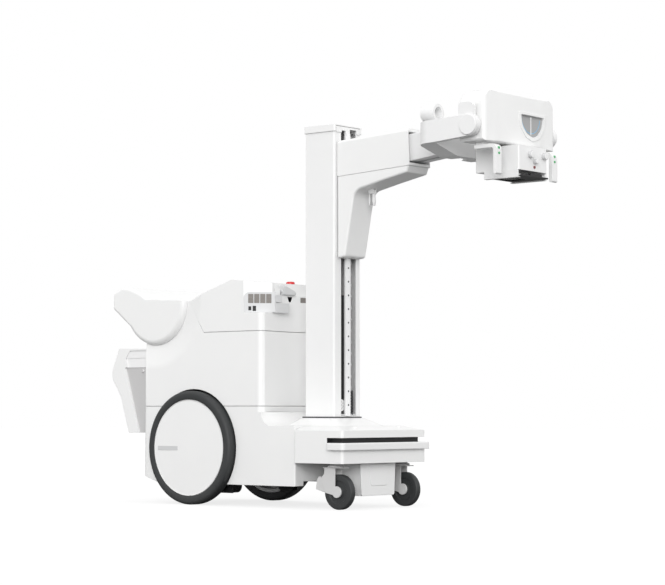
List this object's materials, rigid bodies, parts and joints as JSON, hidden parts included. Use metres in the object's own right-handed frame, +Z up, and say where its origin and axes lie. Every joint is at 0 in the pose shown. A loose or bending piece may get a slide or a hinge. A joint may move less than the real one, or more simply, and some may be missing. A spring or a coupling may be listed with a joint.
{
  "type": "mobile x-ray machine",
  "caption": "Motor-driven trolley with a turning column, a counterbalanced lift, a telescopic arm and a tube head with a collimator held in a rolling yoke.",
  "frame": {"origin": "on the floor, under the middle of the machine's overall length and width", "axes": "+X to the front, where the arm points; +Y to the machine's left; +Z up"},
  "size_m": [2.2402, 0.606, 1.725],
  "materials": {
    "white_cover": "smooth white moulded cover",
    "white_metal": "white powder coat",
    "white_light_metal": "white paint on a light casting",
    "pale_grey": "pale grey plastic",
    "dark_grey": "dark grey plastic",
    "black": "black paint",
    "tyre": "charcoal rubber",
    "steel": "ground steel",
    "iron": "bare iron",
    "frame_grey": "grey primer",
    "generator_grey": "satin",
    "caster_grey": "grey powder coat",
    "caster_tread": "dark rubber",
    "display": "dark glossy screen",
    "window_grey": "grey dial behind a clear cover",
    "needle": "white pointer",
    "green": "green key",
    "red": "red key",
    "stop_red": "red mushroom button"
  },
  "bodies": {
    "trolley": {"base_frame": "frame_grey", "lower_cover": "white_cover", "mid_cover": "white_cover", "console_top_cover": "white_cover", "rear_console": "white_cover", "control_display": "display", "push_handle": "white_light_metal", "front_base_cover": "white_cover", "front_box": "pale_grey", "port_panel": "pale_grey", "panel_inserts": "dark_grey", "detector_bin": "white_cover", "battery_pack": "black", "xray_generator": "generator_grey", "drive_gearmotors": "black"},
    "deadman_grip": {"deadman_bar": "dark_grey"},
    "bumper": {"front_bumper": "pale_grey"},
    "rear_wheel_right": {"rear_tyre_right": "tyre", "rear_hub_right": "white_cover"},
    "rear_wheel_left": {"rear_tyre_left": "tyre", "rear_hub_left": "white_cover"},
    "caster_right": {"caster_fork_right": "caster_grey"},
    "pedal_right": {"caster_pedal_right": "caster_grey"},
    "front_wheel_right": {"caster_wheel_right": "caster_tread"},
    "caster_left": {"caster_fork_left": "caster_grey"},
    "pedal_left": {"caster_pedal_left": "caster_grey"},
    "front_wheel_left": {"caster_wheel_left": "caster_tread"},
    "column": {"column_mast": "white_metal", "linear_rail": "steel", "column_cap": "white_cover", "lift_chain": "black"},
    "pulley": {"lift_pulley": "needle"},
    "balance_weight": {"counterweight": "iron"},
    "carriage": {"carriage_plate": "steel", "arm_upper_cover": "white_cover", "arm_lower_cover": "white_cover"},
    "lock_lever": {"arm_lock_lever": "white_cover"},
    "middle_stage": {"arm_middle_tube": "white_light_metal"},
    "inner_stage": {"arm_inner_tube": "white_light_metal"},
    "yoke": {"head_yoke": "white_light_metal", "trunnion_caps": "pale_grey"},
    "tube_head": {"tube_head_cover": "white_cover", "xray_tube": "steel", "angle_window": "window_grey", "head_handles": "white_cover"},
    "needle": {"angle_needle": "needle"},
    "key_upper_right": {"upper_button_right": "green"},
    "key_lower_right": {"lower_button_right": "green"},
    "key_upper_left": {"upper_button_left": "green"},
    "key_lower_left": {"lower_button_left": "green"},
    "collimator": {"collimator_housing": "white_metal", "accessory_rails": "white_light_metal"},
    "tray": {"filter_tray": "black"},
    "knob_right_body": {"knob_right": "white_cover"},
    "knob_left_body": {"knob_left": "white_cover"},
    "knob_centre_body": {"knob_centre": "white_cover"},
    "light_key": {"light_button": "red"},
    "stop_key": {"emergency_stop_button": "stop_red"},
    "handset": {"hand_switch": "pale_grey"},
    "exposure_key": {"exposure_button": "dark_grey"}
  },
  "joints": [
    {"name": "deadman_squeeze", "type": "slide", "parent": "trolley", "child": "deadman_grip", "axis": [-1, 0, 0], "range_m": [0, 0.006], "stiffness_N_per_m": 900, "springref_m": -0.002},
    {"name": "bumper_push", "type": "slide", "parent": "trolley", "child": "bumper", "axis": [-1, 0, 0], "range_m": [0, 0.01], "stiffness_N_per_m": 3000, "springref_m": -0.003},
    {"name": "rear_wheel_right_turn", "type": "hinge", "parent": "trolley", "child": "rear_wheel_right", "pos_m": [-0.56485, -0.273, 0.254], "axis": [0, 1, 0], "continuous": true},
    {"name": "rear_wheel_left_turn", "type": "hinge", "parent": "trolley", "child": "rear_wheel_left", "pos_m": [-0.56485, 0.273, 0.254], "axis": [0, 1, 0], "continuous": true},
    {"name": "caster_right_swivel", "type": "hinge", "parent": "trolley", "child": "caster_right", "pos_m": [0.23715, -0.2235, 0.19], "axis": [0, 0, 1], "continuous": true},
    {"name": "pedal_right_press", "type": "hinge", "parent": "caster_right", "child": "pedal_right", "pos_m": [0.18515, -0.2235, 0.128], "axis": [0, -1, 0], "range_deg": [0, 10]},
    {"name": "front_wheel_right_turn", "type": "hinge", "parent": "caster_right", "child": "front_wheel_right", "pos_m": [0.25915, -0.2235, 0.075], "axis": [0, 1, 0], "continuous": true},
    {"name": "caster_left_swivel", "type": "hinge", "parent": "trolley", "child": "caster_left", "pos_m": [0.23715, 0.2235, 0.19], "axis": [0, 0, 1], "continuous": true},
    {"name": "pedal_left_press", "type": "hinge", "parent": "caster_left", "child": "pedal_left", "pos_m": [0.18515, 0.2235, 0.128], "axis": [0, -1, 0], "range_deg": [0, 10]},
    {"name": "front_wheel_left_turn", "type": "hinge", "parent": "caster_left", "child": "front_wheel_left", "pos_m": [0.25915, 0.2235, 0.075], "axis": [0, 1, 0], "continuous": true},
    {"name": "column_turn", "type": "hinge", "parent": "trolley", "child": "column", "pos_m": [0.02965, 0, 0.4], "axis": [0, 0, 1], "range_deg": [-90, 90]},
    {"name": "carriage_lift", "type": "slide", "parent": "column", "child": "carriage", "axis": [0, 0, 1], "range_m": [-0.65, 0.02]},
    {"name": "pulley_turn", "type": "hinge", "parent": "column", "child": "pulley", "pos_m": [0.09615, -0.03, 0.443], "axis": [1, 0, 0], "range_deg": [-1500, 100]},
    {"name": "balance_weight_travel", "type": "slide", "parent": "column", "child": "balance_weight", "axis": [0, 0, 1], "range_m": [-0.02, 0.65]},
    {"name": "lock_lever_swing", "type": "hinge", "parent": "carriage", "child": "lock_lever", "pos_m": [0.25515, 0, 1.374], "axis": [0, -1, 0], "range_deg": [0, 30]},
    {"name": "middle_stage_slide", "type": "slide", "parent": "carriage", "child": "middle_stage", "axis": [0.9988, 0, 0.0489], "range_m": [-0.17, 0.12]},
    {"name": "inner_stage_slide", "type": "slide", "parent": "middle_stage", "child": "inner_stage", "axis": [0.9988, 0, 0.0489], "range_m": [0, 0.28]},
    {"name": "yoke_roll", "type": "hinge", "parent": "inner_stage", "child": "yoke", "pos_m": [0.75315, 0, 1.55174], "axis": [0.9988, 0, 0.0489], "range_deg": [-90, 90]},
    {"name": "head_tilt", "type": "hinge", "parent": "yoke", "child": "tube_head", "pos_m": [0.98515, 0, 1.569], "axis": [0, -1, 0], "range_deg": [-20, 90]},
    {"name": "needle_swing", "type": "hinge", "parent": "tube_head", "child": "needle", "pos_m": [1.04115, 0.075, 1.627], "axis": [1, 0, 0], "range_deg": [-60, 60]},
    {"name": "key_upper_right_press", "type": "slide", "parent": "tube_head", "child": "key_upper_right", "axis": [-1, 0, 0], "range_m": [0, 0.002], "stiffness_N_per_m": 300, "springref_m": -0.0005},
    {"name": "key_lower_right_press", "type": "slide", "parent": "tube_head", "child": "key_lower_right", "axis": [-1, 0, 0], "range_m": [0, 0.002], "stiffness_N_per_m": 300, "springref_m": -0.0005},
    {"name": "key_upper_left_press", "type": "slide", "parent": "tube_head", "child": "key_upper_left", "axis": [-1, 0, 0], "range_m": [0, 0.002], "stiffness_N_per_m": 300, "springref_m": -0.0005},
    {"name": "key_lower_left_press", "type": "slide", "parent": "tube_head", "child": "key_lower_left", "axis": [-1, 0, 0], "range_m": [0, 0.002], "stiffness_N_per_m": 300, "springref_m": -0.0005},
    {"name": "collimator_turn", "type": "hinge", "parent": "tube_head", "child": "collimator", "pos_m": [0.99415, 0, 1.5], "axis": [0, 0, 1], "range_deg": [-45, 45]},
    {"name": "tray_slide", "type": "slide", "parent": "collimator", "child": "tray", "axis": [1, 0, 0], "range_m": [0, 0.04]},
    {"name": "knob_right_turn", "type": "hinge", "parent": "collimator", "child": "knob_right_body", "pos_m": [1.11115, -0.023, 1.463], "axis": [1, 0, 0], "range_deg": [-140, 140]},
    {"name": "knob_left_turn", "type": "hinge", "parent": "collimator", "child": "knob_left_body", "pos_m": [1.11115, 0.076, 1.464], "axis": [1, 0, 0], "range_deg": [-140, 140]},
    {"name": "knob_centre_turn", "type": "hinge", "parent": "collimator", "child": "knob_centre_body", "pos_m": [1.11115, 0.009, 1.436], "axis": [1, 0, 0], "range_deg": [-140, 140]},
    {"name": "light_key_press", "type": "slide", "parent": "collimator", "child": "light_key", "axis": [-1, 0, 0], "range_m": [0, 0.002], "stiffness_N_per_m": 300, "springref_m": -0.0005},
    {"name": "stop_key_press", "type": "slide", "parent": "trolley", "child": "stop_key", "axis": [0, 0, -1], "range_m": [0, 0.006]},
    {"name": "handset_lift", "type": "slide", "parent": "trolley", "child": "handset", "axis": [0, 0, 1], "range_m": [0, 0.04]},
    {"name": "exposure_key_press", "type": "slide", "parent": "handset", "child": "exposure_key", "axis": [0, -1, 0], "range_m": [0, 0.003], "stiffness_N_per_m": 300, "springref_m": -0.0005}
  ],
  "couplings": [
    {"joint": "balance_weight_travel", "follows": "carriage_lift", "ratio": -1},
    {"joint": "pulley_turn", "follows": "carriage_lift", "rad_per_m": 38.462}
  ]
}
